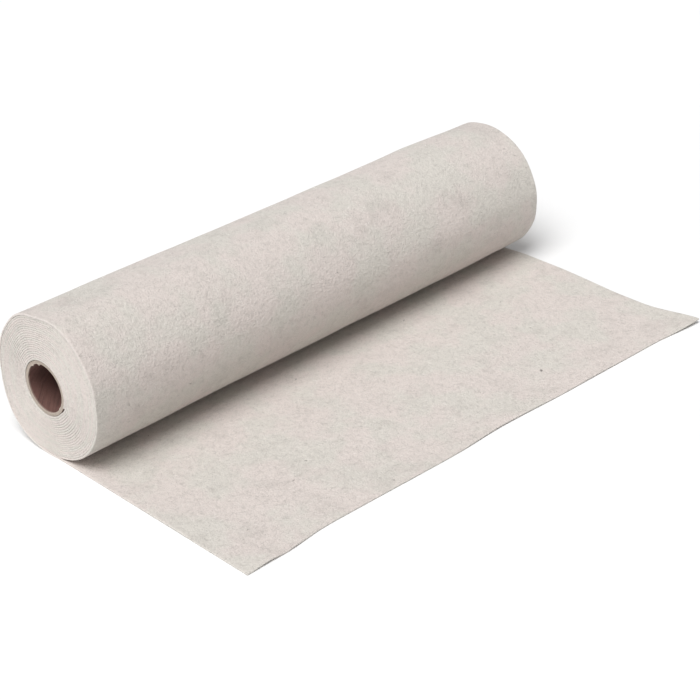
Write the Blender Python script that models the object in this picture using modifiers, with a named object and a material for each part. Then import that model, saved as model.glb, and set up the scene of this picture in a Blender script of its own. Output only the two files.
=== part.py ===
"""A roll of craft felt on a cardboard core, with its loose end run out flat in front of it.

Metres, +Z up. The roll lies along X, and the loose end runs out towards -Y. The origin is on the resting
surface, under the middle of the roll. The near end of the roll is the one at -X, the far end the one at +X.
"""

import math

import bmesh
import bpy

# ---- Driving dimensions, in metres and degrees -------------------------------------------------------

COLLECTION_NAME = "felt_roll"

FELT_WIDTH = 0.450
FELT_THICKNESS = 0.0015
HALF_WIDTH = FELT_WIDTH / 2

CORE_BORE_RADIUS = 0.0175
CORE_WALL = 0.0025
CORE_RADIUS = CORE_BORE_RADIUS + CORE_WALL
CORE_LENGTH = 0.4490
CORE_CENTRE_Y = 0.0038
CORE_CENTRE_Z = 0.0517
CORE_EDGE_ROUNDING = 0.0004
CORE_EDGE_SEGMENTS = 1
CORE_EDGE_ANGLE = math.radians(60.0)
CORE_STEPS = 64
CORE_WELD = 0.00001

FIT_GAP = 0.0003

# The roll sags a little where it rests, which leaves a flat strip under it.
REST_SAG = 0.0003

# The loose end left the roll slightly askew: its sides lean by this angle from the roll's own square.
SKEW = math.radians(1.82)
LOOSE_LENGTH = 0.2005

# The winding starts behind the resting line, goes round by the back, the top and the front, and closes on
# the loose end just ahead of the resting line. Angles turn from +Y towards +Z.
WINDING_START = 274.0
WINDING_TRAVEL = 348.0
WINDING_STEPS = 66
FULL_TURN = 360.0
RESTING_ANGLE = 270.0

LOOSE_STEPS = 18
FELT_SHARP_ANGLE = math.radians(40.0)

# Where the sections stand along the width, closer together towards the corners of the loose end.
STATION_SHARES = (0.085, 0.26, 0.42, 0.57, 0.70, 0.80, 0.88, 0.95, 1.0)

# Mean radius of the winding along the roll: it was wound a little looser at the near end.
# (share of the half width, radius)
RADIUS_ALONG = (
    (-1.00, 0.0538),
    (-0.60, 0.0534),
    (0.00, 0.0529),
    (0.65, 0.0525),
    (1.00, 0.0516),
)

# How the two ends of the winding stand out from a round one. The middle keeps part of each.
# (angle, near end, far end)
OUT_OF_ROUND = (
    (0.0, -0.0022, 0.0004),
    (38.0, -0.0008, 0.0000),
    (62.0, 0.0011, -0.0004),
    (82.0, -0.0002, -0.0014),
    (112.0, 0.0028, -0.0018),
    (150.0, 0.0004, -0.0016),
    (180.0, -0.0014, 0.0002),
    (205.0, -0.0012, 0.0020),
    (235.0, -0.0010, 0.0028),
    (270.0, -0.0008, 0.0008),
    (312.0, 0.0016, 0.0004),
)
END_FADE = 0.75

# How far the front edge of the loose end reaches past its mean length.
# (share of the half width, reach)
FRONT_REACH = (
    (-1.00, 0.0026),
    (-0.86, 0.0022),
    (-0.68, -0.0016),
    (-0.15, -0.0006),
    (0.06, -0.0026),
    (0.40, -0.0010),
    (0.80, -0.0006),
    (1.00, 0.0032),
)

# Soft lifts of the loose end off the surface. Each is a smooth mound with no height past its reach.
# (across, forward, reach across, reach forward, height, push across), across from the middle of the roll
LIFTS = (
    (0.2350, 0.2120, 0.0480, 0.0560, 0.0030, 0.0052),
    (0.2300, 0.1400, 0.1200, 0.0700, 0.0000, -0.0022),
    (0.2350, 0.0140, 0.0700, 0.0300, 0.0000, -0.0026),
    (-0.1900, 0.2050, 0.0300, 0.0260, 0.0016, 0.0),
    (0.0200, 0.2030, 0.0700, 0.0300, 0.0014, 0.0),
    (0.1150, 0.2060, 0.0460, 0.0200, 0.0010, 0.0),
)

FELT_COLOUR = (0.74, 0.71, 0.67, 1.0)
FELT_ROUGHNESS = 0.95
CARDBOARD_COLOUR = (0.42, 0.31, 0.24, 1.0)
CARDBOARD_ROUGHNESS = 0.85


# ---- Small helpers -----------------------------------------------------------------------------------

def ease(share):
    """A smooth step: 0 at 0 and 1 at 1, level at both."""
    share = min(max(share, 0.0), 1.0)
    return share * share * (3.0 - 2.0 * share)


def read_table(rows, key, column):
    """The value in a column at a key between the table's first and last, eased from row to row."""
    key = min(max(key, rows[0][0]), rows[-1][0])
    for before, after in zip(rows, rows[1:]):
        if key <= after[0]:
            share = (key - before[0]) / (after[0] - before[0])
            return before[column] + (after[column] - before[column]) * ease(share)
    return rows[-1][column]


def read_round_table(rows, angle, column):
    """The same for a table of angles that closes on itself."""
    first = rows[0]
    closed = rows + ((first[0] + FULL_TURN,) + first[1:],)
    return read_table(closed, angle % FULL_TURN, column)


def make_material(name, colour, roughness):
    """A plain material with a colour and a roughness."""
    material = bpy.data.materials.new(name)
    material.use_nodes = True
    shader = material.node_tree.nodes["Principled BSDF"]
    shader.inputs["Base Color"].default_value = colour
    shader.inputs["Roughness"].default_value = roughness
    shader.inputs["Metallic"].default_value = 0.0
    material.diffuse_color = colour
    return material


def add_object(name, mesh, collection, material):
    """Put a mesh in the collection as a named object with its material."""
    obj = bpy.data.objects.new(name, mesh)
    obj.data.materials.append(material)
    collection.objects.link(obj)
    return obj


# ---- The felt: its wound form and its loose end ------------------------------------------------------

def winding_radius(along, angle, travel):
    """The distance from the roll's axis to its surface, a thickness less after each full turn."""
    near_share = ease((END_FADE - along) / (1.0 + END_FADE))
    far_share = ease((END_FADE + along) / (1.0 + END_FADE))
    near_stand_out = near_share * read_round_table(OUT_OF_ROUND, angle, 1)
    far_stand_out = far_share * read_round_table(OUT_OF_ROUND, angle, 2)
    inward = FELT_THICKNESS * travel / FULL_TURN
    return read_table(RADIUS_ALONG, along, 1) + near_stand_out + far_stand_out - inward


def axis_height(along):
    """The height of the roll's axis, from the radius down to where it rests."""
    return winding_radius(along, RESTING_ANGLE, 0.0) - REST_SAG


def winding_outline(along):
    """The outside of the winding as (y, z), from behind the resting line round to the loose end's top."""
    height = axis_height(along)
    points = []
    for step in range(WINDING_STEPS + 1):
        travel = WINDING_TRAVEL * step / WINDING_STEPS
        angle = WINDING_START + travel
        radius = winding_radius(along, angle, travel)
        y = radius * math.cos(math.radians(angle))
        z = height + radius * math.sin(math.radians(angle))
        points.append((y, max(z, 0.0)))
    points[-1] = (points[-1][0], FELT_THICKNESS)
    return points


def core_seat():
    """The hollow that holds the core, as (y, z), with a point for each point of the winding's outline."""
    radius = CORE_RADIUS + FIT_GAP
    points = []
    for step in range(WINDING_STEPS + 1):
        angle = math.radians(WINDING_START + FULL_TURN * step / (WINDING_STEPS + 1))
        points.append((CORE_CENTRE_Y + radius * math.cos(angle), CORE_CENTRE_Z + radius * math.sin(angle)))
    return points


def lift_of(across, forward):
    """How far the loose end is lifted off the surface and pushed sideways at a place."""
    height = 0.0
    push = 0.0
    for centre_across, centre_forward, reach_across, reach_forward, rise, sideways in LIFTS:
        away_across = (across - centre_across) / reach_across
        away_forward = (forward - centre_forward) / reach_forward
        share = ease(1.0 - math.hypot(away_across, away_forward))
        height += rise * share
        push += sideways * share
    return height, push


def loose_place(along, share, start_y):
    """A place on the underside of the loose end, a share of the way from the roll to its front edge."""
    across = along * HALF_WIDTH
    reach = LOOSE_LENGTH + read_table(FRONT_REACH, along, 1)
    forward = reach * share
    height, push = lift_of(across, forward)
    end_x = (across + push) * math.cos(SKEW) - reach * math.sin(SKEW)
    end_y = -across * math.sin(SKEW) - reach * math.cos(SKEW)
    x = across + (end_x - across) * share + push * (1.0 - share)
    y = start_y + (end_y - start_y) * share
    return x, y, height


def add_ring(mesh, places):
    """Add one vertex at each place and return them in order."""
    return [mesh.verts.new(place) for place in places]


def bridge(mesh, first, second):
    """Join two rows of vertices with a strip of faces."""
    for index in range(len(first) - 1):
        mesh.faces.new((first[index], first[index + 1], second[index + 1], second[index]))


def felt_section(mesh, along):
    """The vertices of one section: the winding's outside, the core's seat, the loose end's two sides."""
    x = along * HALF_WIDTH
    outside = add_ring(mesh, [(x, y, z) for y, z in winding_outline(along)])
    seat = add_ring(mesh, [(x, y, z) for y, z in core_seat()])
    top = [outside[-1]]
    underside = [outside[0]]
    for step in range(1, LOOSE_STEPS + 1):
        share = step / LOOSE_STEPS
        top_place = loose_place(along, share, outside[-1].co.y)
        top.append(mesh.verts.new((top_place[0], top_place[1], top_place[2] + FELT_THICKNESS)))
        underside.append(mesh.verts.new(loose_place(along, share, outside[0].co.y)))
    return {"outside": outside, "seat": seat, "top": top, "underside": underside}


def close_end(mesh, section):
    """Face one end of the felt: the ring of the winding, its root, and the edge of the loose end."""
    outside, seat = section["outside"], section["seat"]
    bridge(mesh, outside, seat)
    mesh.faces.new((outside[-1], outside[0], seat[0], seat[-1]))
    bridge(mesh, section["underside"], section["top"])


def loft_felt():
    """The felt as one closed mesh, lofted from section to section across its width."""
    mesh = bmesh.new()
    shares = [-share for share in reversed(STATION_SHARES)] + list(STATION_SHARES)
    sections = [felt_section(mesh, along) for along in shares]
    for before, after in zip(sections, sections[1:]):
        bridge(mesh, before["outside"], after["outside"])
        bridge(mesh, before["seat"] + before["seat"][:1], after["seat"] + after["seat"][:1])
        bridge(mesh, before["top"], after["top"])
        bridge(mesh, before["underside"], after["underside"])
        front_edges = [(section["top"][-1], section["underside"][-1]) for section in (before, after)]
        bridge(mesh, *front_edges)
    close_end(mesh, sections[0])
    close_end(mesh, sections[-1])
    bmesh.ops.recalc_face_normals(mesh, faces=mesh.faces)
    result = bpy.data.meshes.new("felt")
    mesh.to_mesh(result)
    mesh.free()
    return result


def build_felt(collection):
    """The felt, wound and run out, in one piece."""
    material = make_material("felt", FELT_COLOUR, FELT_ROUGHNESS)
    felt = add_object("felt", loft_felt(), collection, material)
    felt.data.shade_smooth()
    felt.data.set_sharp_from_angle(angle=FELT_SHARP_ANGLE)
    return felt


# ---- The cardboard core ------------------------------------------------------------------------------

def core_profile():
    """Half of the tube's wall as a closed loop at +X, down its outer side and up its bore."""
    top = CORE_LENGTH / 2
    mesh = bmesh.new()
    corners = (
        (CORE_RADIUS, top),
        (CORE_RADIUS, -top),
        (CORE_BORE_RADIUS, -top),
        (CORE_BORE_RADIUS, top),
    )
    loop = [mesh.verts.new((radius, 0.0, height)) for radius, height in corners]
    for index, vertex in enumerate(loop):
        mesh.edges.new((vertex, loop[(index + 1) % len(loop)]))
    result = bpy.data.meshes.new("core_tube")
    mesh.to_mesh(result)
    mesh.free()
    return result


def build_core(collection):
    """The core: a turned tube with its rims eased, laid along the roll."""
    material = make_material("cardboard", CARDBOARD_COLOUR, CARDBOARD_ROUGHNESS)
    core = add_object("core_tube", core_profile(), collection, material)
    turn = core.modifiers.new("turn", "SCREW")
    turn.axis = "Z"
    turn.angle = 2.0 * math.pi
    turn.steps = CORE_STEPS
    turn.render_steps = CORE_STEPS
    turn.use_merge_vertices = True
    turn.merge_threshold = CORE_WELD
    rims = core.modifiers.new("rims", "BEVEL")
    rims.width = CORE_EDGE_ROUNDING
    rims.segments = CORE_EDGE_SEGMENTS
    rims.limit_method = "ANGLE"
    rims.angle_limit = CORE_EDGE_ANGLE
    core.rotation_euler = (0.0, math.radians(90.0), 0.0)
    core.location = (0.0, CORE_CENTRE_Y, CORE_CENTRE_Z)
    core.data.shade_smooth()
    return core


# ---- The object --------------------------------------------------------------------------------------

def main():
    """Clear the scene and build the roll in its own collection."""
    for obj in list(bpy.data.objects):
        bpy.data.objects.remove(obj, do_unlink=True)
    collection = bpy.data.collections.new(COLLECTION_NAME)
    bpy.context.scene.collection.children.link(collection)
    build_felt(collection)
    build_core(collection)


main()
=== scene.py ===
"""The looks of a roll of craft felt: the wound cloth, its cardboard tube, the light and the camera.

Metres, +Z up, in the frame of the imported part: the roll lies along X with its near end at -X, the loose end
runs out towards -Y, and everything rests on the plane through the origin.
"""

import logging
import math
from dataclasses import dataclass
from enum import Enum

import bmesh
import bpy
from mathutils import Matrix, Vector, noise


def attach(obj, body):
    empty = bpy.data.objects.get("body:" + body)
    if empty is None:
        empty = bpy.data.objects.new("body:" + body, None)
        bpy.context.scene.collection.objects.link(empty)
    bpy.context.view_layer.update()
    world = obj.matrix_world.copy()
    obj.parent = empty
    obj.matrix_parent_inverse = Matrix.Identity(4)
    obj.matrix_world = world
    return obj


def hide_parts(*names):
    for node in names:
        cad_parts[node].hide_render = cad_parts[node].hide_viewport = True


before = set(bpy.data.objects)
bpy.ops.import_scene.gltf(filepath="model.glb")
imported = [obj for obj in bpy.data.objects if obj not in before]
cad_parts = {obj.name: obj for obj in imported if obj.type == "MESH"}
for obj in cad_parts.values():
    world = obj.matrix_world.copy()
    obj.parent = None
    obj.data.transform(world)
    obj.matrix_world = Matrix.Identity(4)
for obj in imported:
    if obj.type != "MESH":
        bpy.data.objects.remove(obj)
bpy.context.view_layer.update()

LOG = logging.getLogger("felt_roll")

FULL_TURN = 360.0
RESTING_ANGLE = 270.0

Row = tuple[float, ...]
Table = tuple[Row, ...]
Colour = tuple[float, float, float]
Place = tuple[float, float, float]
Loop = list[tuple[int, bmesh.types.BMVert]]


# ---- Small helpers -----------------------------------------------------------------------------------

def ease(share: float) -> float:
    """A smooth step: 0 at 0 and 1 at 1, level at both."""
    share = min(max(share, 0.0), 1.0)
    return share * share * (3.0 - 2.0 * share)


def mix(first: float, second: float, share: float) -> float:
    """The value a share of the way from the first to the second."""
    return first + (second - first) * share


def read_table(rows: Table, key: float, column: int) -> float:
    """Read a column of a table, eased from row to row.

    Args:
        rows: rows in rising order of their first value.
        key: where to read; it is held between the first row and the last.
        column: which value of the rows to read.

    Returns:
        The eased value at the key.
    """
    key = min(max(key, rows[0][0]), rows[-1][0])
    for before, after in zip(rows, rows[1:]):
        if key <= after[0]:
            share = (key - before[0]) / (after[0] - before[0])
            return mix(before[column], after[column], ease(share))
    return rows[-1][column]


def read_round_table(rows: Table, angle: float, column: int) -> float:
    """Read a column of a table of angles that closes on itself.

    Args:
        rows: rows in rising order of their angle, in degrees.
        angle: any angle, in degrees.
        column: which value of the rows to read.

    Returns:
        The eased value at the angle.
    """
    first = rows[0]
    closed = rows + ((first[0] + FULL_TURN,) + first[1:],)
    return read_table(closed, angle % FULL_TURN, column)


def wander(x: float, y: float, z: float = 0.0) -> float:
    """Smooth noise between about -1 and 1, the same on every run."""
    return noise.noise(Vector((x, y, z)))


# ---- The wiring of a finish --------------------------------------------------------------------------

class Wiring:
    """Adds and joins the shader nodes of one material."""

    def __init__(self, name: str) -> None:
        """Start a material that holds one plain shader."""
        self.material = bpy.data.materials.new(name)
        self.material.use_nodes = True
        self.tree = self.material.node_tree
        self.shader = self.tree.nodes["Principled BSDF"]

    def node(self, kind: str, **settings: object) -> bpy.types.Node:
        """Add a node of a kind and set its own properties."""
        made = self.tree.nodes.new(kind)
        for name, value in settings.items():
            setattr(made, name, value)
        return made

    def join(self, source: bpy.types.NodeSocket, target: bpy.types.NodeSocket) -> None:
        """Link an output to an input."""
        self.tree.links.new(source, target)

    def attribute(self, name: str) -> bpy.types.Node:
        """Read a value that the mesh carries."""
        return self.node("ShaderNodeAttribute", attribute_name=name)

    def mapped(self, source: bpy.types.NodeSocket, scale: Place, turn: Place = (0.0, 0.0, 0.0),
               shift: Place = (0.0, 0.0, 0.0)) -> bpy.types.NodeSocket:
        """Turn, then scale and shift coordinates.

        Args:
            source: the coordinates to start from.
            scale: how many pattern units there are to a metre, along each axis.
            turn: the turn about each axis, in degrees.
            shift: the shift in pattern units.

        Returns:
            The socket of the new coordinates.
        """
        turned = self.node("ShaderNodeMapping")
        turned.inputs["Rotation"].default_value = [math.radians(angle) for angle in turn]
        self.join(source, turned.inputs["Vector"])
        scaled = self.node("ShaderNodeMapping")
        scaled.inputs["Scale"].default_value = scale
        scaled.inputs["Location"].default_value = shift
        self.join(turned.outputs["Vector"], scaled.inputs["Vector"])
        return scaled.outputs["Vector"]

    def noise(self, source: bpy.types.NodeSocket, scale: float, detail: float,
              roughness: float = 0.5) -> bpy.types.Node:
        """Smooth noise over coordinates.

        Args:
            source: the coordinates.
            scale: how many patches there are to a coordinate unit.
            detail: how many finer octaves it adds.
            roughness: how strong the finer octaves are.

        Returns:
            The noise node.
        """
        made = self.node("ShaderNodeTexNoise")
        made.inputs["Scale"].default_value = scale
        made.inputs["Detail"].default_value = detail
        made.inputs["Roughness"].default_value = roughness
        self.join(source, made.inputs["Vector"])
        return made

    def ramp(self, source: bpy.types.NodeSocket, low: float, high: float, start: float = 0.0,
             end: float = 1.0) -> bpy.types.NodeSocket:
        """Ease a value from one range to another.

        Args:
            source: the value to read.
            low: where the range read begins.
            high: where it ends.
            start: the result at the low end.
            end: the result at the high end.

        Returns:
            The socket of the eased value.
        """
        made = self.node("ShaderNodeMapRange", interpolation_type="SMOOTHSTEP")
        settings = {"From Min": low, "From Max": high, "To Min": start, "To Max": end}
        for name, value in settings.items():
            made.inputs[name].default_value = value
        self.join(source, made.inputs["Value"])
        return made.outputs["Result"]

    def maths(self, operation: str, first: bpy.types.NodeSocket,
              second: bpy.types.NodeSocket | float) -> bpy.types.NodeSocket:
        """Work out one value from two.

        Args:
            operation: the name of the sum.
            first: the first value.
            second: the second value, a socket or a number.

        Returns:
            The socket of the result.
        """
        made = self.node("ShaderNodeMath", operation=operation)
        self.join(first, made.inputs[0])
        if isinstance(second, bpy.types.NodeSocket):
            self.join(second, made.inputs[1])
        else:
            made.inputs[1].default_value = second
        return made.outputs["Value"]

    def colour_over(self, below: bpy.types.NodeSocket | Colour, above: bpy.types.NodeSocket | Colour,
                    share: bpy.types.NodeSocket | float) -> bpy.types.NodeSocket:
        """Lay one colour over another.

        Args:
            below: the colour underneath.
            above: the colour on top.
            share: how much of the top one shows.

        Returns:
            The socket of the mixed colour.
        """
        made = self.node("ShaderNodeMix", data_type="RGBA", blend_type="MIX")
        factor, first, second = made.inputs[0], made.inputs[6], made.inputs[7]
        for value, socket in ((share, factor), (below, first), (above, second)):
            if isinstance(value, bpy.types.NodeSocket):
                self.join(value, socket)
            elif isinstance(value, tuple):
                socket.default_value = (*value, 1.0)
            else:
                socket.default_value = value
        return made.outputs[2]

    def bump(self, height: bpy.types.NodeSocket, distance: float, strength: float) -> None:
        """Roughen the surface by a height pattern.

        Args:
            height: the pattern, from 0 to 1.
            distance: the height in metres that 1 stands for.
            strength: how much of it shows.
        """
        made = self.node("ShaderNodeBump")
        made.inputs["Distance"].default_value = distance
        made.inputs["Strength"].default_value = strength
        self.join(height, made.inputs["Height"])
        self.join(made.outputs["Normal"], self.shader.inputs["Normal"])


# ---- Finishes ----------------------------------------------------------------------------------------

CLOTH_PLACE = "cloth_place"
# Pale cut edges; on the felt's outermost turn this paleness is partly a painted highlight.
CUT_EDGE_AND_HIGHLIGHT = "cut_edge_and_highlight"
# Soft darker patches on the roll, partly soiling and partly painted shade.
SOIL_AND_SHADE = "soil_and_shade"


@dataclass(frozen=True)
class FeltFinish:
    """Needled felt: clouds of two tones, grey mottle, pressed fibres, dark flecks and a matt nap."""

    pink_tone: Colour = (0.695, 0.622, 0.582)
    green_tone: Colour = (0.662, 0.626, 0.572)
    grey_tone: Colour = (0.430, 0.398, 0.362)
    fibre_tone: Colour = (0.330, 0.300, 0.280)
    # The pale fibres' tone, also used to paint a highlight along the cut edges.
    pale_fibre_and_highlight_tone: Colour = (0.800, 0.750, 0.705)
    fleck_tone: Colour = (0.105, 0.088, 0.078)
    # The tone of the darker patches near the far rim: partly soiling, partly painted shade.
    soil_and_shade_tone: Colour = (0.380, 0.355, 0.330)
    roughness: float = 0.95
    sheen: float = 0.25
    sheen_roughness: float = 0.6
    nap_height: float = 0.00075
    nap_strength: float = 0.75
    dark_share: float = 0.20
    pale_share: float = 0.45
    # Groups of fibres: (which way they lie in degrees, shift)
    dark_groups: Table = ((24.0, 1.7), (81.0, 4.9), (137.0, 8.3))
    pale_groups: Table = ((52.0, 12.1), (111.0, 15.5), (168.0, 19.2))
    # How fine a group is across its fibres, along them and through the cloth
    dark_scale: Place = (1100.0, 210.0, 600.0)
    pale_scale: Place = (1300.0, 170.0, 600.0)
    # Groups of flecks: (places to a metre, reach, share left empty, shift, strength)
    fleck_groups: Table = (
        (34.0, 0.045, 0.62, 2.2, 0.80),
        (95.0, 0.075, 0.70, 6.4, 0.50),
    )

    def clouds(self, wiring: Wiring, place: bpy.types.NodeSocket) -> bpy.types.NodeSocket:
        """The two tones in soft clouds, with a greyer mottle of a finer size.

        Args:
            wiring: the material's wiring.
            place: coordinates on the cloth, in metres.

        Returns:
            The socket of the colour.
        """
        broad = wiring.noise(place, 24.0, 3.0, 0.55)
        green_share = wiring.ramp(broad.outputs[0], 0.42, 0.60)
        tones = wiring.colour_over(self.pink_tone, self.green_tone, green_share)
        drift = wiring.noise(wiring.mapped(place, (1.0, 1.0, 1.0), shift=(3.1, 7.7, 1.3)), 52.0, 4.0, 0.6)
        grey_share = wiring.ramp(drift.outputs[0], 0.50, 0.78, 0.0, 0.34)
        greyed = wiring.colour_over(tones, self.grey_tone, grey_share)
        mottle = wiring.noise(wiring.mapped(place, (1.0, 1.0, 1.0), shift=(9.4, 2.6, 5.8)), 230.0, 4.0, 0.62)
        mottle_share = wiring.ramp(mottle.outputs[0], 0.48, 0.80, 0.0, 0.52)
        return wiring.colour_over(greyed, self.grey_tone, mottle_share)

    def grain(self, wiring: Wiring, place: bpy.types.NodeSocket) -> bpy.types.NodeSocket:
        """The fine grain of the pressed fibres, as a value round a half."""
        return wiring.noise(place, 900.0, 4.0, 0.7).outputs[0]

    def fibres(self, wiring: Wiring, place: bpy.types.NodeSocket, turn: float, shift: float,
               scale: Place) -> bpy.types.NodeSocket:
        """Stray fibres that lie mostly one way, as a value from 0 to 1 along each.

        Args:
            wiring: the material's wiring.
            place: coordinates on the cloth, in metres.
            turn: which way they lie, in degrees.
            shift: a shift that sets this group apart from the others.
            scale: how fine they are across and along.

        Returns:
            The socket of their strength.
        """
        laid = wiring.mapped(place, scale, turn=(0.0, 0.0, turn), shift=(shift, shift, shift))
        strands = wiring.noise(laid, 1.0, 2.0, 0.5)
        strands.inputs["Distortion"].default_value = 0.8
        return wiring.ramp(strands.outputs[0], 0.62, 0.72)

    def flecks(self, wiring: Wiring, place: bpy.types.NodeSocket, cells: float, reach: float,
               chosen: float, shift: float) -> bpy.types.NodeSocket:
        """Sparse short dark flecks, as a value from 0 to 1.

        Args:
            wiring: the material's wiring.
            place: coordinates on the cloth, in metres.
            cells: how many places for a fleck there are to a metre.
            reach: the size of a fleck as a share of its cell.
            chosen: the share of the places that stay empty.
            shift: a shift that sets this group apart from the others.

        Returns:
            The socket of their strength.
        """
        spread = wiring.mapped(place, (cells, cells * 0.42, cells), turn=(0.0, 0.0, 62.0),
                               shift=(shift, shift, shift))
        warp = wiring.noise(spread, 1.7, 2.0)
        bent = wiring.node("ShaderNodeVectorMath", operation="MULTIPLY_ADD")
        bent.inputs[1].default_value = (0.55, 0.55, 0.0)
        wiring.join(warp.outputs[1], bent.inputs[0])
        wiring.join(spread, bent.inputs[2])
        cell = wiring.node("ShaderNodeTexVoronoi")
        cell.inputs["Scale"].default_value = 1.0
        wiring.join(bent.outputs["Vector"], cell.inputs["Vector"])
        near = wiring.ramp(cell.outputs["Distance"], reach * 0.45, reach, 1.0, 0.0)
        split = wiring.node("ShaderNodeSeparateColor")
        wiring.join(cell.outputs["Color"], split.inputs[0])
        picked = wiring.ramp(split.outputs[0], chosen, chosen + 0.25 * (1.0 - chosen))
        return wiring.maths("MULTIPLY", near, picked)

    def make(self) -> bpy.types.Material:
        """Build the felt's material.

        Returns:
            The finished material.
        """
        wiring = Wiring("felt")
        place = wiring.attribute(CLOTH_PLACE).outputs["Vector"]
        colour = self.clouds(wiring, place)
        grain = self.grain(wiring, place)
        colour = wiring.colour_over(colour, self.grey_tone, wiring.ramp(grain, 0.50, 0.80, 0.0, 0.55))
        colour = wiring.colour_over(colour, self.pale_fibre_and_highlight_tone, wiring.ramp(grain, 0.46, 0.24, 0.0, 0.50))
        dark = None
        for turn, shift in self.dark_groups:
            strands = self.fibres(wiring, place, turn, shift, self.dark_scale)
            dark = strands if dark is None else wiring.maths("MAXIMUM", dark, strands)
            strength = wiring.maths("MULTIPLY", strands, self.dark_share)
            colour = wiring.colour_over(colour, self.fibre_tone, strength)
        for turn, shift in self.pale_groups:
            strands = self.fibres(wiring, place, turn, shift, self.pale_scale)
            strength = wiring.maths("MULTIPLY", strands, self.pale_share)
            colour = wiring.colour_over(colour, self.pale_fibre_and_highlight_tone, strength)
        for cells, reach, chosen, shift, share in self.fleck_groups:
            marks = self.flecks(wiring, place, cells, reach, chosen, shift)
            colour = wiring.colour_over(colour, self.fleck_tone, wiring.maths("MULTIPLY", marks, share))
        broken = wiring.ramp(grain, 0.3, 0.7, 0.4, 1.0)
        # Darker patches near the far rim: partly soiling, partly painted shade where the rim turns in.
        soil_and_shade_share = wiring.maths("MULTIPLY", wiring.attribute(SOIL_AND_SHADE).outputs["Fac"], broken)
        colour = wiring.colour_over(colour, self.soil_and_shade_tone, soil_and_shade_share)
        # Pale cut edges, with a painted highlight along the outermost turn's edge.
        colour = wiring.colour_over(colour, self.pale_fibre_and_highlight_tone, wiring.attribute(CUT_EDGE_AND_HIGHLIGHT).outputs["Fac"])
        wiring.join(colour, wiring.shader.inputs["Base Color"])
        tufts = wiring.maths("MULTIPLY", wiring.noise(place, 420.0, 2.0, 0.6).outputs[0], 1.6)
        relief = wiring.maths("ADD", grain, wiring.maths("MULTIPLY", dark, -0.3))
        wiring.bump(wiring.maths("ADD", relief, tufts), self.nap_height, self.nap_strength)
        wiring.shader.inputs["Roughness"].default_value = self.roughness
        wiring.shader.inputs["Sheen Weight"].default_value = self.sheen
        wiring.shader.inputs["Sheen Roughness"].default_value = self.sheen_roughness
        wiring.shader.inputs["Specular IOR Level"].default_value = 0.2
        return wiring.material


@dataclass(frozen=True)
class BoardFinish:
    """Spirally wound core board: brown paper inside, darkened as painted shade for the inside of the tube,
    pale torn rims and a darker line at each seam.
    """

    # The bore's brown, darkened by about a quarter as painted shade for the inside of the tube.
    bore_tone_with_painted_shade: Colour = (0.165, 0.080, 0.066)
    bore_dark: Colour = (0.070, 0.036, 0.030)
    rim_tone: Colour = (0.530, 0.465, 0.395)
    ply_tone: Colour = (0.300, 0.250, 0.205)
    roughness: float = 0.85

    def make(self) -> bpy.types.Material:
        """Build the board's material.

        Returns:
            The finished material.
        """
        wiring = Wiring("cardboard")
        place = wiring.attribute(CLOTH_PLACE).outputs["Vector"]
        paper = wiring.noise(wiring.mapped(place, (60.0, 400.0, 400.0)), 1.0, 5.0, 0.65)
        dark_share = wiring.ramp(paper.outputs[0], 0.42, 0.72, 0.0, 0.8)
        # The bore's paper tones, carrying painted shade for the inside of the tube.
        colour = wiring.colour_over(self.bore_tone_with_painted_shade, self.bore_dark, dark_share)
        speckle = wiring.noise(place, 1500.0, 2.0, 0.6)
        speckle_share = wiring.ramp(speckle.outputs[0], 0.62, 0.75, 0.0, 0.25)
        colour = wiring.colour_over(colour, self.rim_tone, speckle_share)
        plies = wiring.noise(wiring.mapped(place, (200.0, 200.0, 4000.0)), 1.0, 2.0, 0.6)
        ply_share = wiring.ramp(plies.outputs[0], 0.50, 0.66, 0.0, 0.6)
        rim = wiring.colour_over(self.rim_tone, self.ply_tone, ply_share)
        colour = wiring.colour_over(colour, rim, wiring.attribute(CUT_EDGE_AND_HIGHLIGHT).outputs["Fac"])
        wiring.join(colour, wiring.shader.inputs["Base Color"])
        wiring.bump(paper.outputs[0], 0.0002, 0.5)
        wiring.shader.inputs["Roughness"].default_value = self.roughness
        return wiring.material


# ---- The felt ----------------------------------------------------------------------------------------

class Fineness(Enum):
    """How closely a row of the cloth is divided across its width."""

    FINE = "fine"
    COARSE = "coarse"


class Stretch(Enum):
    """Which stretch of the cloth a row belongs to."""

    LOOSE = "loose"
    WOUND = "wound"


@dataclass(frozen=True)
class ClothRow:
    """One row across the cloth: its stretch, how far along that it lies, how finely it is divided.

    For the loose stretch, along is the share of the way from the roll to the front edge. For the wound one
    it is the number of turns from where the cloth leaves the ground. Fullness is the share of the cloth's
    thickness that the row keeps, which rounds the two cut ends.
    """

    stretch: Stretch
    along: float
    fineness: Fineness
    fullness: float = 1.0


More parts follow.
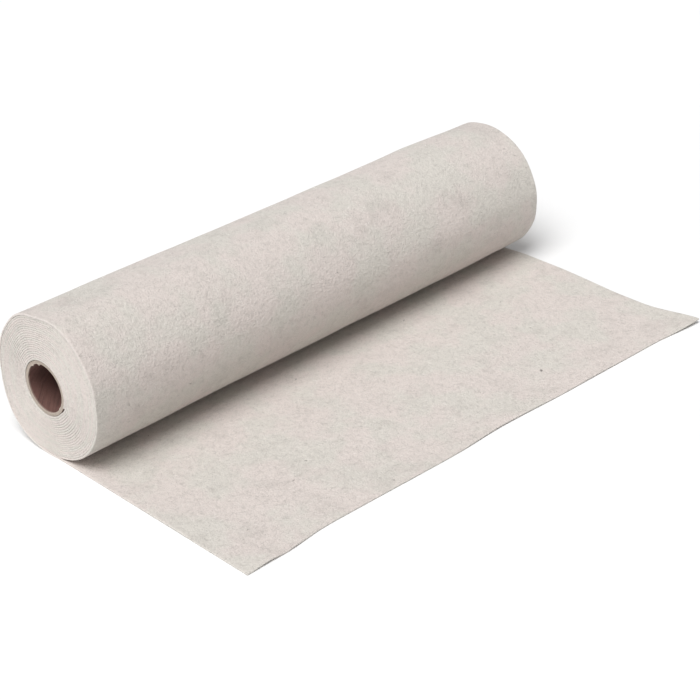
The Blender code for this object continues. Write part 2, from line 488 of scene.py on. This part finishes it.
@dataclass
class FeltRoll:
    """The whole length of felt, run out in front and wound round the core, as one sheet."""

    width: float = 0.450
    thickness: float = 0.0015
    flat_length: float = 5.0
    loose_length: float = 0.2005
    skew: float = math.radians(1.82)
    turns: float = 21.795
    filling: float = 0.985
    rest_sag: float = 0.0003
    end_fade: float = 0.75
    seat_radius: float = 0.0203
    core_centre_y: float = 0.0038
    core_centre_z: float = 0.0517
    edge_rounding: float = 0.0003
    fine_steps: int = 96
    fine_turns: float = 1.0
    coarse_steps: int = 48
    loose_rows: int = 46
    climb: float = 0.06
    climb_fade: float = 14.0

    # (share of the half width, radius)
    radius_along: Table = (
        (-1.00, 0.0538),
        (-0.60, 0.0534),
        (0.00, 0.0529),
        (0.65, 0.0525),
        (1.00, 0.0516),
    )
    # (angle, near end, far end)
    out_of_round: Table = (
        (0.0, -0.0022, 0.0004),
        (38.0, -0.0008, 0.0000),
        (62.0, 0.0011, -0.0004),
        (82.0, -0.0002, -0.0014),
        (112.0, 0.0028, -0.0018),
        (150.0, 0.0004, -0.0016),
        (180.0, -0.0014, 0.0002),
        (205.0, -0.0012, 0.0020),
        (235.0, -0.0010, 0.0028),
        (270.0, -0.0008, 0.0008),
        (312.0, 0.0016, 0.0004),
    )
    # (share of the half width, reach)
    front_reach: Table = (
        (-1.00, 0.0026),
        (-0.86, 0.0022),
        (-0.68, -0.0016),
        (-0.15, -0.0006),
        (0.06, -0.0026),
        (0.40, -0.0010),
        (0.80, -0.0006),
        (1.00, 0.0032),
    )
    # (across, forward, reach across, reach forward, height, push across)
    lifts: Table = (
        (0.2350, 0.2120, 0.0480, 0.0560, 0.0030, 0.0052),
        (0.2300, 0.1400, 0.1200, 0.0700, 0.0000, -0.0022),
        (0.2350, 0.0140, 0.0700, 0.0300, 0.0000, -0.0026),
        (-0.2065, 0.2050, 0.0170, 0.0220, 0.0012, 0.0),
        (-0.1825, 0.2040, 0.0090, 0.0140, 0.0008, 0.0),
        (0.0200, 0.2030, 0.0700, 0.0300, 0.0007, 0.0),
        (0.1150, 0.2060, 0.0460, 0.0200, 0.0006, 0.0),
    )
    # Soft darker patches near the far rim, partly soiling and partly painted shade where the rim turns in:
    # (across, turns, reach across, reach in turns, strength)
    soil_and_shade_patches: Table = (
        (0.2050, 0.42, 0.030, 0.06, 0.30),
        (0.2150, 0.50, 0.018, 0.10, 0.30),
    )

    def half_width(self) -> float:
        """Half the cloth's width."""
        return self.width / 2

    # -- the shape of the roll --

    def outer_radius(self, along: float, angle: float) -> float:
        """The distance from the roll's axis to its outside.

        Args:
            along: where along the roll, from -1 at the near end to 1 at the far end.
            angle: from +Y towards +Z, in degrees.

        Returns:
            The radius in metres.
        """
        near_share = ease((self.end_fade - along) / (1.0 + self.end_fade))
        far_share = ease((self.end_fade + along) / (1.0 + self.end_fade))
        near_stand_out = near_share * read_round_table(self.out_of_round, angle, 1)
        far_stand_out = far_share * read_round_table(self.out_of_round, angle, 2)
        return read_table(self.radius_along, along, 1) + near_stand_out + far_stand_out

    def surface_relief(self, along: float, angle: float) -> float:
        """Soft dents of the wound cloth, and faint tension lines round the near end.

        Args:
            along: where along the roll, from -1 to 1.
            angle: from +Y towards +Z, in degrees.

        Returns:
            How far the surface stands out, in metres.
        """
        x = along * self.half_width()
        turned = math.radians(angle)
        y, z = math.cos(turned), math.sin(turned)
        broad = 0.00045 * wander(x * 16.0, y * 1.3, z * 1.3 + 5.0)
        dents = broad + 0.00020 * wander(x * 44.0, y * 2.6, z * 2.6)
        from_end = (along + 1.0) * self.half_width()
        lines_here = ease(from_end / 0.012) * ease((0.060 - from_end) / 0.030)
        front_share = ease((math.cos(math.radians(angle - 205.0)) - 0.1) / 0.7)
        lines = 0.00016 * wander(from_end * 150.0, y * 0.8, z * 0.8 + 2.0) * lines_here * front_share
        return dents + lines

    def wound_place(self, along: float, angle: float, depth: float) -> tuple[float, float]:
        """A place in the winding's section.

        Args:
            along: where along the roll, from -1 to 1.
            angle: from +Y towards +Z, in degrees.
            depth: how many thicknesses of cloth lie outside it.

        Returns:
            Its y and z.
        """
        height = self.outer_radius(along, RESTING_ANGLE) - self.rest_sag
        turned = math.radians(angle)
        across_y, up = math.cos(turned), math.sin(turned)
        share = depth / self.turns
        relief = self.surface_relief(along, angle) * ease(1.0 - share * 4.0)
        radius = self.outer_radius(along, angle) + relief
        outer_y, outer_z = radius * across_y, max(height + radius * up, 0.0)
        seat_y = self.core_centre_y + self.seat_radius * across_y
        seat_z = self.core_centre_z + self.seat_radius * up
        return mix(outer_y, seat_y, share), mix(outer_z, seat_z, share)

    def depth_at(self, turns_in: float) -> float:
        """How many thicknesses lie outside the cloth after some turns.

        The innermost turn hugs the core and climbs over its own start in a short ramp. Further out the
        ramp spreads into an even spiral.

        Args:
            turns_in: the turns from where the cloth leaves the ground.

        Returns:
            The depth in thicknesses of cloth.
        """
        left = self.last_turn() - turns_in
        whole = math.floor(left)
        part = left - whole
        ramp = ease((part - (1.0 - self.climb)) / self.climb)
        spread = ease(left / self.climb_fade)
        return self.last_turn() - (whole + mix(ramp, part, spread))

    def last_turn(self) -> float:
        """How many turns the cloth makes before its inner end."""
        return self.turns - self.filling

    # -- the shape of the loose end --

    def lift_of(self, across: float, forward: float) -> tuple[float, float]:
        """How far the loose end is lifted off the surface and pushed sideways at a place.

        Args:
            across: where across the cloth, in metres from its middle.
            forward: how far from the roll, in metres.

        Returns:
            The lift and the sideways push.
        """
        height = 0.0
        push = 0.0
        for centre_across, centre_forward, reach_across, reach_forward, rise, sideways in self.lifts:
            away_across = (across - centre_across) / reach_across
            away_forward = (forward - centre_forward) / reach_forward
            share = ease(1.0 - math.hypot(away_across, away_forward))
            height += rise * share
            push += sideways * share
        return height, push

    def loose_place(self, along: float, share: float) -> Place:
        """A place on the underside of the loose end.

        Args:
            along: where across the cloth, from -1 to 1.
            share: the share of the way from the roll to the front edge.

        Returns:
            Its x, y and z.
        """
        across = along * self.half_width()
        reach = self.loose_length + read_table(self.front_reach, along, 1)
        forward = reach * share
        height, push = self.lift_of(across, forward)
        end_x = (across + push) * math.cos(self.skew) - reach * math.sin(self.skew)
        end_y = -across * math.sin(self.skew) - reach * math.cos(self.skew)
        swell = wander(across * 17.0 + 3.0, forward * 14.0, 1.5)
        swell += 0.5 * wander(across * 40.0, forward * 34.0, 8.0)
        height += 0.0007 * max(swell, 0.0) * ease(share / 0.25) * ease((1.0 - share) / 0.15)
        x = mix(across, end_x, share) + push * (1.0 - share)
        return x, end_y * share, height

    # -- the rows and columns of the sheet --

    def edge_drift(self, stretch: Stretch, along: float, side: float) -> float:
        """How far the cut side stands out past the even width at a place along the cloth.

        Args:
            stretch: the stretch of the cloth that the place is on.
            along: how far along the stretch.
            side: which side, below 0 for the near one.

        Returns:
            The drift in metres.
        """
        if stretch is Stretch.LOOSE:
            return 0.00010 * wander(along * 9.0, side * 5.0, 2.0)
        layer = math.floor(along)
        proud = 0.0005 * ease(1.0 - along / 1.1)
        slow = 0.00010 * wander(along * 3.1, side * 5.0, layer * 1.7)
        return proud + slow + 0.00006 * wander(along * 17.0, side)

    def place(self, row: ClothRow, along: float, through: float) -> Place:
        """A place in the cloth.

        Args:
            row: the row that it is on.
            along: where across the cloth, from -1 to 1.
            through: from 0 on the outer side to 1 on the inner.

        Returns:
            Its x, y and z.
        """
        through = mix(0.5, through, row.fullness)
        outward = math.copysign(self.edge_drift(row.stretch, row.along, along), along)
        drift = ease((abs(along) - 0.97) / 0.03) * outward
        if row.stretch is Stretch.LOOSE:
            x, y, z = self.loose_place(along, row.along)
            pressed = self.wound_place(along, RESTING_ANGLE, self.filling)[1]
            full = mix(pressed, self.thickness, ease(row.along / 0.2))
            return x + drift, y, z + through * full
        angle = RESTING_ANGLE + row.along * FULL_TURN
        y, z = self.wound_place(along, angle, self.depth_at(row.along) + through * self.filling)
        return along * self.half_width() + drift, y, z

    def cloth_place(self, row: ClothRow, along: float, through: float) -> Place:
        """Where a place of the cloth lies on the flat cloth.

        Args:
            row: the row that it is on.
            along: where across the cloth, from -1 to 1.
            through: from 0 on the outer side to 1 on the inner.

        Returns:
            Its place across, along and through the flat cloth, in metres.
        """
        if row.stretch is Stretch.LOOSE:
            length = -row.along * self.loose_length
        else:
            mean_radius = mix(0.0522, self.seat_radius, row.along / self.turns / 2.0)
            length = row.along * 2.0 * math.pi * mean_radius
        return along * self.half_width(), length, through * self.thickness

    def rows(self) -> list[ClothRow]:
        """All rows across the cloth.

        Returns:
            The rows, from the front edge of the loose end to the inner end at the core.
        """
        rows = [ClothRow(Stretch.LOOSE, 1.0, Fineness.FINE, 0.35)]
        rows.append(ClothRow(Stretch.LOOSE, 0.9987, Fineness.FINE, 0.8))
        for step in range(self.loose_rows):
            share = 1.0 - step / self.loose_rows
            rows.append(ClothRow(Stretch.LOOSE, share * 0.9965, Fineness.FINE))
        fine_count = round(self.fine_steps * self.fine_turns)
        for step in range(fine_count + 1):
            rows.append(ClothRow(Stretch.WOUND, step / self.fine_steps, Fineness.FINE))
        step = round(self.fine_turns * self.coarse_steps)
        while (step + 1) / self.coarse_steps < self.last_turn():
            step += 1
            rows.append(ClothRow(Stretch.WOUND, step / self.coarse_steps, Fineness.COARSE))
        rows.append(ClothRow(Stretch.WOUND, self.last_turn() - 0.002, Fineness.COARSE))
        rows.append(ClothRow(Stretch.WOUND, self.last_turn(), Fineness.COARSE, 0.6))
        return rows

    def columns(self) -> list[float]:
        """The places across the width of the two faces, closer together towards both sides.

        Returns:
            The places, from the near side to the far one.
        """
        side = 1.0 - self.edge_rounding / self.half_width()
        gaps = (0.0, 0.004, 0.012, 0.024, 0.040, 0.058, 0.078, 0.100, 0.124, 0.150, 0.178, 0.208, 0.240, 0.275)
        near_side = [side - gap for gap in gaps]
        count = 26
        inner = near_side[-1]
        middle = [mix(-inner, inner, step / count) for step in range(1, count)]
        return [-place for place in near_side] + middle + near_side[::-1]

    def ring(self) -> list[tuple[float, float, bool]]:
        """The closed ring of places round the cloth's cross-section.

        Returns:
            For each place: where it is across, where it is through, and whether coarse rows keep it.
        """
        columns = self.columns()
        last = len(columns) - 1
        kept = {0, 1, 3, 7, 13, last // 2, last - 13, last - 7, last - 3, last - 1, last}
        side = 1.0
        shoulder = 1.0 - 0.30 * self.edge_rounding / self.half_width()
        rounding = ((shoulder, 0.16), (side, 0.5), (shoulder, 0.84))
        ring = [(place, 0.0, index in kept) for index, place in enumerate(columns)]
        ring += [(across, through, True) for across, through in rounding]
        ring += [(place, 1.0, last - index in kept) for index, place in enumerate(columns[::-1])]
        ring += [(-across, through, True) for across, through in rounding[::-1]]
        return ring

    def edge_paleness_and_highlight(self, row: ClothRow, across: float) -> float:
        """How pale the cut edge is at a place: pale torn fibres, with a painted highlight along the bright
        edge of the outermost turn, strongest on the outermost turn.

        Args:
            row: the row that it is on.
            across: where across the cloth, from -1 to 1.

        Returns:
            The paleness, from 0 to 1.
        """
        at_side = ease((abs(across) - (1.0 - 1.5 * self.edge_rounding / self.half_width())) / 0.003)
        at_front = 1.0 - row.fullness if row.stretch is Stretch.LOOSE else 0.0
        if row.stretch is Stretch.LOOSE:
            return max(0.35 * at_side, 0.5 * at_front)
        # Strongest on the outermost turn, where it paints a highlight along the bright edge.
        return at_side * mix(0.18, 0.85, ease(1.05 - row.along))

    def soil_and_shade(self, row: ClothRow, across: float, through: float) -> float:
        """How much the outer face of the winding is darkened at a place, partly by soiling and partly by
        painted shade near the far rim.

        Args:
            row: the row that it is on.
            across: where across the cloth, from -1 to 1.
            through: from 0 on the outer side to 1 on the inner.

        Returns:
            The darkening, 0 where there is none.
        """
        if row.stretch is Stretch.LOOSE or through > 0.0 or row.along > 1.0:
            return 0.0
        total = 0.0
        for at_across, at_turns, reach_across, reach_turns, strength in self.soil_and_shade_patches:
            away_across = (across * self.half_width() - at_across) / reach_across
            away_turns = (row.along - at_turns) / reach_turns
            total += strength * ease(1.0 - math.hypot(away_across, away_turns))
        return total

    def build_mesh(self) -> bpy.types.Mesh:
        """Build the sheet, row by row, as one closed mesh.

        Returns:
            The mesh, with the flat place, the cut edges with their painted highlight, and the soiling with its
            painted shade on its vertices.
        """
        sheet = bmesh.new()
        place_layer = sheet.verts.layers.float_vector.new(CLOTH_PLACE)
        edge_and_highlight_layer = sheet.verts.layers.float.new(CUT_EDGE_AND_HIGHLIGHT)
        soil_and_shade_layer = sheet.verts.layers.float.new(SOIL_AND_SHADE)
        ring = self.ring()
        before: Loop = []
        rows = self.rows()
        for row in rows:
            loop: Loop = []
            for index, (across, through, kept) in enumerate(ring):
                if row.fineness is Fineness.COARSE and not kept:
                    continue
                vertex = sheet.verts.new(self.place(row, across, through))
                vertex[place_layer] = self.cloth_place(row, across, through)
                # Pale cut edges, partly a painted highlight.
                vertex[edge_and_highlight_layer] = self.edge_paleness_and_highlight(row, across)
                # Darker patches, partly soiling and partly painted shade.
                vertex[soil_and_shade_layer] = self.soil_and_shade(row, across, through)
                loop.append((index, vertex))
            if before:
                join_loops(sheet, before, loop)
            else:
                self.close_row(sheet, loop)
            before = loop
        self.close_row(sheet, before)
        bmesh.ops.recalc_face_normals(sheet, faces=sheet.faces)
        return finish_mesh(sheet, "felt_cloth")

    def close_row(self, sheet: bmesh.types.BMesh, loop: Loop) -> None:
        """Close the cut end of the cloth across a row, with a strip between its two faces.

        Args:
            sheet: the mesh to add to.
            loop: the row's vertices, in the order of the ring.
        """
        vertices = [vertex for _, vertex in loop]
        side = 3
        face_count = (len(vertices) - 2 * side) // 2
        outer = vertices[:face_count]
        inner = vertices[face_count + side:2 * face_count + side][::-1]
        for index in range(face_count - 1):
            sheet.faces.new((outer[index], outer[index + 1], inner[index + 1], inner[index]))
        sheet.faces.new([outer[-1], *vertices[face_count:face_count + side], inner[-1]])
        sheet.faces.new([inner[0], *vertices[2 * face_count + side:], outer[0]])

    def build(self) -> bpy.types.Object:
        """Returns:
            The felt's object.
        """
        felt = add_piece("felt_cloth", self.build_mesh(), FeltFinish().make())
        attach(felt, "root")
        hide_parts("felt")
        return felt


def join_loops(sheet: bmesh.types.BMesh, first: Loop, second: Loop) -> None:
    """Join two closed rows with a band of faces, also where one is divided more finely.

    Args:
        sheet: the mesh to add to.
        first: one row, each vertex with its number in the fine ring.
        second: the next row.
    """
    fine, coarse = (first, second) if len(first) >= len(second) else (second, first)
    numbers = [index for index, _ in fine]
    for position, (start, vertex) in enumerate(coarse):
        end, following = coarse[(position + 1) % len(coarse)]
        begin = numbers.index(start)
        stop = numbers.index(end)
        if stop <= begin:
            stop += len(fine)
        between = [fine[step % len(fine)][1] for step in range(begin, stop + 1)]
        sheet.faces.new([vertex, following, *between[::-1]])


def finish_mesh(shape: bmesh.types.BMesh, name: str) -> bpy.types.Mesh:
    """Turn a built shape into a smooth mesh and free it.

    Args:
        shape: the shape.
        name: the mesh's name.

    Returns:
        The mesh.
    """
    mesh = bpy.data.meshes.new(name)
    shape.to_mesh(mesh)
    shape.free()
    mesh.shade_smooth()
    return mesh


def add_piece(name: str, mesh: bpy.types.Mesh, material: bpy.types.Material) -> bpy.types.Object:
    """Put a mesh in the scene under a name, with its material.

    Args:
        name: the piece's name.
        mesh: its mesh.
        material: its finish.

    Returns:
        The new object.
    """
    piece = bpy.data.objects.new(name, mesh)
    piece.data.materials.append(material)
    bpy.context.scene.collection.objects.link(piece)
    return piece


# ---- The cardboard core ------------------------------------------------------------------------------

@dataclass
class CoreBoard:
    """The tube that the felt is wound on, wound from strips of board with a seam that runs round it."""

    bore_radius: float = 0.0175
    wall: float = 0.0025
    length: float = 0.4490
    centre_y: float = 0.0038
    centre_z: float = 0.0517
    around: int = 144
    rows_along: int = 30
    lead: float = 0.110
    seam_depth: float = 0.00028
    seam_width: float = 3.4
    rim_unevenness: float = 0.00022

    # Torn scraps of paper that hang into the bore at the near rim: (angle, reach in degrees, length)
    scraps: Table = (
        (52.0, 5.0, 0.0015),
        (77.0, 5.0, 0.0020),
        (214.0, 7.0, 0.0006),
    )
    # The wall's cut rim: (share through the wall from the bore, how far it stands back, paleness)
    rim_profile: Table = (
        (0.00, 0.00040, 0.35),
        (0.06, 0.00010, 0.70),
        (0.22, 0.00000, 1.00),
        (0.36, 0.00022, 0.55),
        (0.50, 0.00002, 1.00),
        (0.66, 0.00020, 0.60),
        (0.82, 0.00000, 1.00),
        (0.94, 0.00012, 0.75),
        (1.00, 0.00040, 0.30),
    )

    def seam_at(self, turned: float, seam: float) -> float:
        """How deep the seam is at a place, from 0 beside it to 1 along it."""
        away = abs((turned - seam + 180.0) % FULL_TURN - 180.0)
        return ease(1.0 - away / self.seam_width)

    def wall_place(self, x: float, turned: float, share: float) -> Place:
        """A place in the wall.

        Args:
            x: where along the tube.
            turned: the angle in degrees that the place has at the tube's middle; the strips lead it round.
            share: how far through the wall, from 0 at the bore to 1 outside.

        Returns:
            Its x, y and z.
        """
        angle = turned + FULL_TURN * x / self.lead
        inside = self.bore_radius + self.seam_depth * self.seam_at(turned, 20.0)
        outside = self.bore_radius + self.wall - self.seam_depth * self.seam_at(turned, 200.0)
        radius = mix(inside, outside, share)
        if x < 0.0:
            at_rim = ease(1.0 - (x + self.length / 2) / 0.0012) * ease(1.0 - share * 4.0)
            for scrap_angle, reach, hang in self.scraps:
                away = abs((angle - scrap_angle + 180.0) % FULL_TURN - 180.0)
                radius -= hang * at_rim * max(1.0 - away / reach, 0.0)
        y = self.centre_y + radius * math.cos(math.radians(angle))
        z = self.centre_z + radius * math.sin(math.radians(angle))
        return x, y, z

    def profile(self) -> list[tuple[float, float, float]]:
        """The wall's closed section.

        Returns:
            For each place: its x, its share through the wall, and how much of it is cut rim.
        """
        half = self.length / 2
        margins = (0.0012, 0.004, 0.010)
        bore = [half - self.rim_profile[0][1] - margin for margin in margins]
        middle = [mix(-bore[-1], bore[-1], step / self.rows_along) for step in range(1, self.rows_along)]
        run = [-x for x in bore] + middle + bore[::-1]
        section = [(x, 0.0, 0.0) for x in run]
        section += [(half - back, share, pale) for share, back, pale in self.rim_profile]
        section += [(x, 1.0, 0.0) for x in run[::-1]]
        section += [(back - half, share, pale) for share, back, pale in self.rim_profile[::-1]]
        return section

    def build_mesh(self) -> bpy.types.Mesh:
        """Build the tube as a closed mesh whose columns follow the strips round it.

        Returns:
            The mesh, with its place in the wall and its cut rims on its vertices.
        """
        tube = bmesh.new()
        place_layer = tube.verts.layers.float_vector.new(CLOTH_PLACE)
        edge_and_highlight_layer = tube.verts.layers.float.new(CUT_EDGE_AND_HIGHLIGHT)
        section = self.profile()
        columns = []
        for step in range(self.around):
            turned = FULL_TURN * step / self.around
            column = []
            for x, share, cut in section:
                ragged = wander(turned * 0.09, share * 3.0, math.copysign(4.0, x))
                uneven = self.rim_unevenness * ragged * cut
                vertex = tube.verts.new(self.wall_place(x + uneven, turned, share))
                vertex[place_layer] = (x, math.radians(turned) * self.bore_radius, share * self.wall)
                vertex[edge_and_highlight_layer] = cut
                column.append(vertex)
            columns.append(column)
        for column, following in zip(columns, columns[1:] + columns[:1]):
            for index, vertex in enumerate(column):
                other = (index + 1) % len(column)
                tube.faces.new((vertex, column[other], following[other], following[index]))
        bmesh.ops.recalc_face_normals(tube, faces=tube.faces)
        return finish_mesh(tube, "core_board")

    def build(self) -> bpy.types.Object:
        """Returns:
            The tube's object.
        """
        board = add_piece("core_board", self.build_mesh(), BoardFinish().make())
        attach(board, "root")
        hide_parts("core_tube")
        return board


# ---- The studio --------------------------------------------------------------------------------------

@dataclass(frozen=True)
class SoftLight:
    """One broad, even light that shines from far off, as wide as its spread."""

    name: str
    direction: Place
    spread: float
    strength: float

    def build(self) -> None:
        """Hang the light and turn it to the roll."""
        lamp = bpy.data.lights.new(self.name, "SUN")
        lamp.angle = math.radians(self.spread)
        lamp.energy = self.strength
        holder = bpy.data.objects.new(self.name, lamp)
        holder.location = self.direction
        holder.rotation_euler = (-Vector(self.direction)).to_track_quat("-Z", "Y").to_euler()
        bpy.context.scene.collection.objects.link(holder)


@dataclass
class Studio:
    """The pale floor, the soft light and the camera."""

    floor_side: float = 60.0
    floor_colour: Colour = (0.90, 0.90, 0.90)
    sky_colour: Colour = (1.0, 1.0, 1.0)
    sky_strength: float = 0.34
    lights: tuple[SoftLight, ...] = (
        SoftLight("overhead", (-0.42, -0.14, 0.90), 38.0, 2.75),
        SoftLight("near_end", (-0.95, 0.05, 0.30), 30.0, 0.30),
    )
    camera_place: Place = (-0.88226, -0.92602, 0.69903)
    camera_right: Place = (0.693286, -0.720459, -0.017135)
    camera_up: Place = (0.360399, 0.326020, 0.873970)
    lens: float = 100.23
    sensor: float = 36.0

    def build_floor(self) -> bpy.types.Object:
        """Lay the pale floor just under what rests on it."""
        half = self.floor_side / 2
        shape = bmesh.new()
        corners = [(-half, -half, 0.0), (half, -half, 0.0), (half, half, 0.0), (-half, half, 0.0)]
        shape.faces.new([shape.verts.new(corner) for corner in corners])
        wiring = Wiring("floor_paint")
        wiring.shader.inputs["Base Color"].default_value = (*self.floor_colour, 1.0)
        wiring.shader.inputs["Roughness"].default_value = 0.9
        wiring.shader.inputs["Specular IOR Level"].default_value = 0.1
        floor = add_piece("floor", finish_mesh(shape, "floor"), wiring.material)
        return floor

    def build_sky(self) -> None:
        """Fill the room with even light."""
        world = bpy.data.worlds.new("room")
        world.use_nodes = True
        shade = world.node_tree.nodes["Background"]
        shade.inputs["Color"].default_value = (*self.sky_colour, 1.0)
        shade.inputs["Strength"].default_value = self.sky_strength
        bpy.context.scene.world = world

    def build_camera(self) -> None:
        """Stand the camera where it looks along the roll from its near end."""
        lens = bpy.data.cameras.new("camera")
        lens.lens = self.lens
        lens.sensor_width = self.sensor
        lens.clip_start = 0.01
        holder = bpy.data.objects.new("camera", lens)
        right = Vector(self.camera_right).normalized()
        back = right.cross(Vector(self.camera_up)).normalized()
        up = back.cross(right)
        turn = Matrix((right, up, back)).transposed()
        holder.matrix_world = Matrix.Translation(self.camera_place) @ turn.to_4x4()
        bpy.context.scene.collection.objects.link(holder)
        bpy.context.scene.camera = holder

    def build(self) -> None:
        """Build the whole studio round the roll."""
        self.build_floor()
        self.build_sky()
        self.build_camera()
        for light in self.lights:
            light.build()
        bpy.context.scene.view_settings.view_transform = "Standard"


# ---- Making it all -----------------------------------------------------------------------------------

def main() -> None:
    """Build the studio and the two pieces."""
    logging.basicConfig(level=logging.INFO, format="%(name)s: %(message)s")
    Studio().build()
    for maker in (CoreBoard(), FeltRoll()):
        piece = maker.build()
        piece.data.calc_loop_triangles()
        LOG.info("%s: %d triangles", piece.name, len(piece.data.loop_triangles))


if __name__ == "__main__":
    main()
